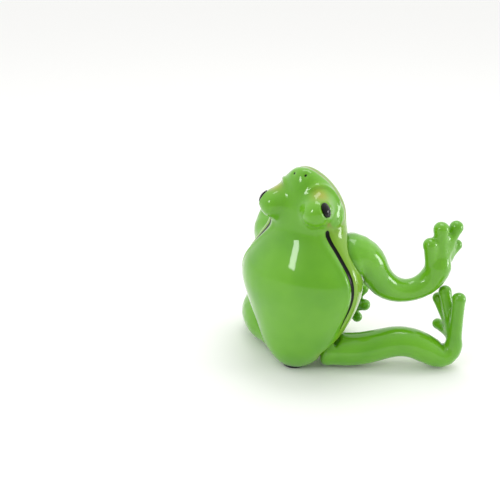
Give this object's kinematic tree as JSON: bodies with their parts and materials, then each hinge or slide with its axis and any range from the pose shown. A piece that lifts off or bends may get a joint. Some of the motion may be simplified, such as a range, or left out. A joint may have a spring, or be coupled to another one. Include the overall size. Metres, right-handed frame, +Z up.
{
  "type": "jointed tree frog figure",
  "caption": "Glossy enamelled metal tree frog sitting upright, one arm and one leg stretched out, with four limbs that swivel on pins at their roots.",
  "frame": {"origin": "on the ground, at the middle of the rest pad under the rump", "axes": "+Z up, +X to the frog's own right, +Y forward (belly side), so the back faces -Y"},
  "size_m": [0.0804, 0.0502, 0.0704],
  "materials": {
    "green_enamel": "stoved enamel on cast tin alloy, high gloss",
    "pale_enamel": "stoved enamel on cast tin alloy, paler belly colour, high gloss",
    "limb_enamel": "stoved enamel on cast tin alloy, high gloss",
    "eye_bead": "black glass bead, polished",
    "steel": "drawn steel wire and spring steel",
    "brass": "turned brass",
    "pad_rubber": "moulded rubber, matt"
  },
  "bodies": {
    "torso": {"back_shell": "green_enamel", "belly_shell": "pale_enamel", "shell_dowels": "steel", "rump_pad": "pad_rubber", "right_eye": "eye_bead", "left_eye": "eye_bead", "right_shoulder_bush": "brass", "right_shoulder_washer": "steel", "right_hip_bush": "brass", "right_hip_washer": "steel", "left_shoulder_bush": "brass", "left_shoulder_washer": "steel", "left_hip_bush": "brass", "left_hip_washer": "steel"},
    "right_arm": {"right_arm": "limb_enamel", "right_shoulder_pin": "steel", "right_shoulder_clip": "steel"},
    "right_leg": {"right_leg": "limb_enamel", "right_hip_pin": "steel", "right_hip_clip": "steel"},
    "left_arm": {"left_arm": "limb_enamel", "left_shoulder_pin": "steel", "left_shoulder_clip": "steel"},
    "left_leg": {"left_leg": "limb_enamel", "left_hip_pin": "steel", "left_hip_clip": "steel"}
  },
  "joints": [
    {"name": "right_shoulder_swivel", "type": "hinge", "parent": "torso", "child": "right_arm", "pos_m": [0.01082, 0.00941, 0.0384], "axis": [0.783, 0.5085, 0.3584], "range_deg": [-22, 22]},
    {"name": "right_hip_swivel", "type": "hinge", "parent": "torso", "child": "right_leg", "pos_m": [0.0077, 0.00357, 0.0062], "axis": [0.8387, 0.5446, 0], "range_deg": [-16, 10]},
    {"name": "left_shoulder_swivel", "type": "hinge", "parent": "torso", "child": "left_arm", "pos_m": [-0.01082, 0.00941, 0.0384], "axis": [-0.783, 0.5085, 0.3584], "range_deg": [-11, 11]},
    {"name": "left_hip_swivel", "type": "hinge", "parent": "torso", "child": "left_leg", "pos_m": [-0.0077, 0.00357, 0.0062], "axis": [-0.8387, 0.5446, 0], "range_deg": [-16, 5]}
  ]
}
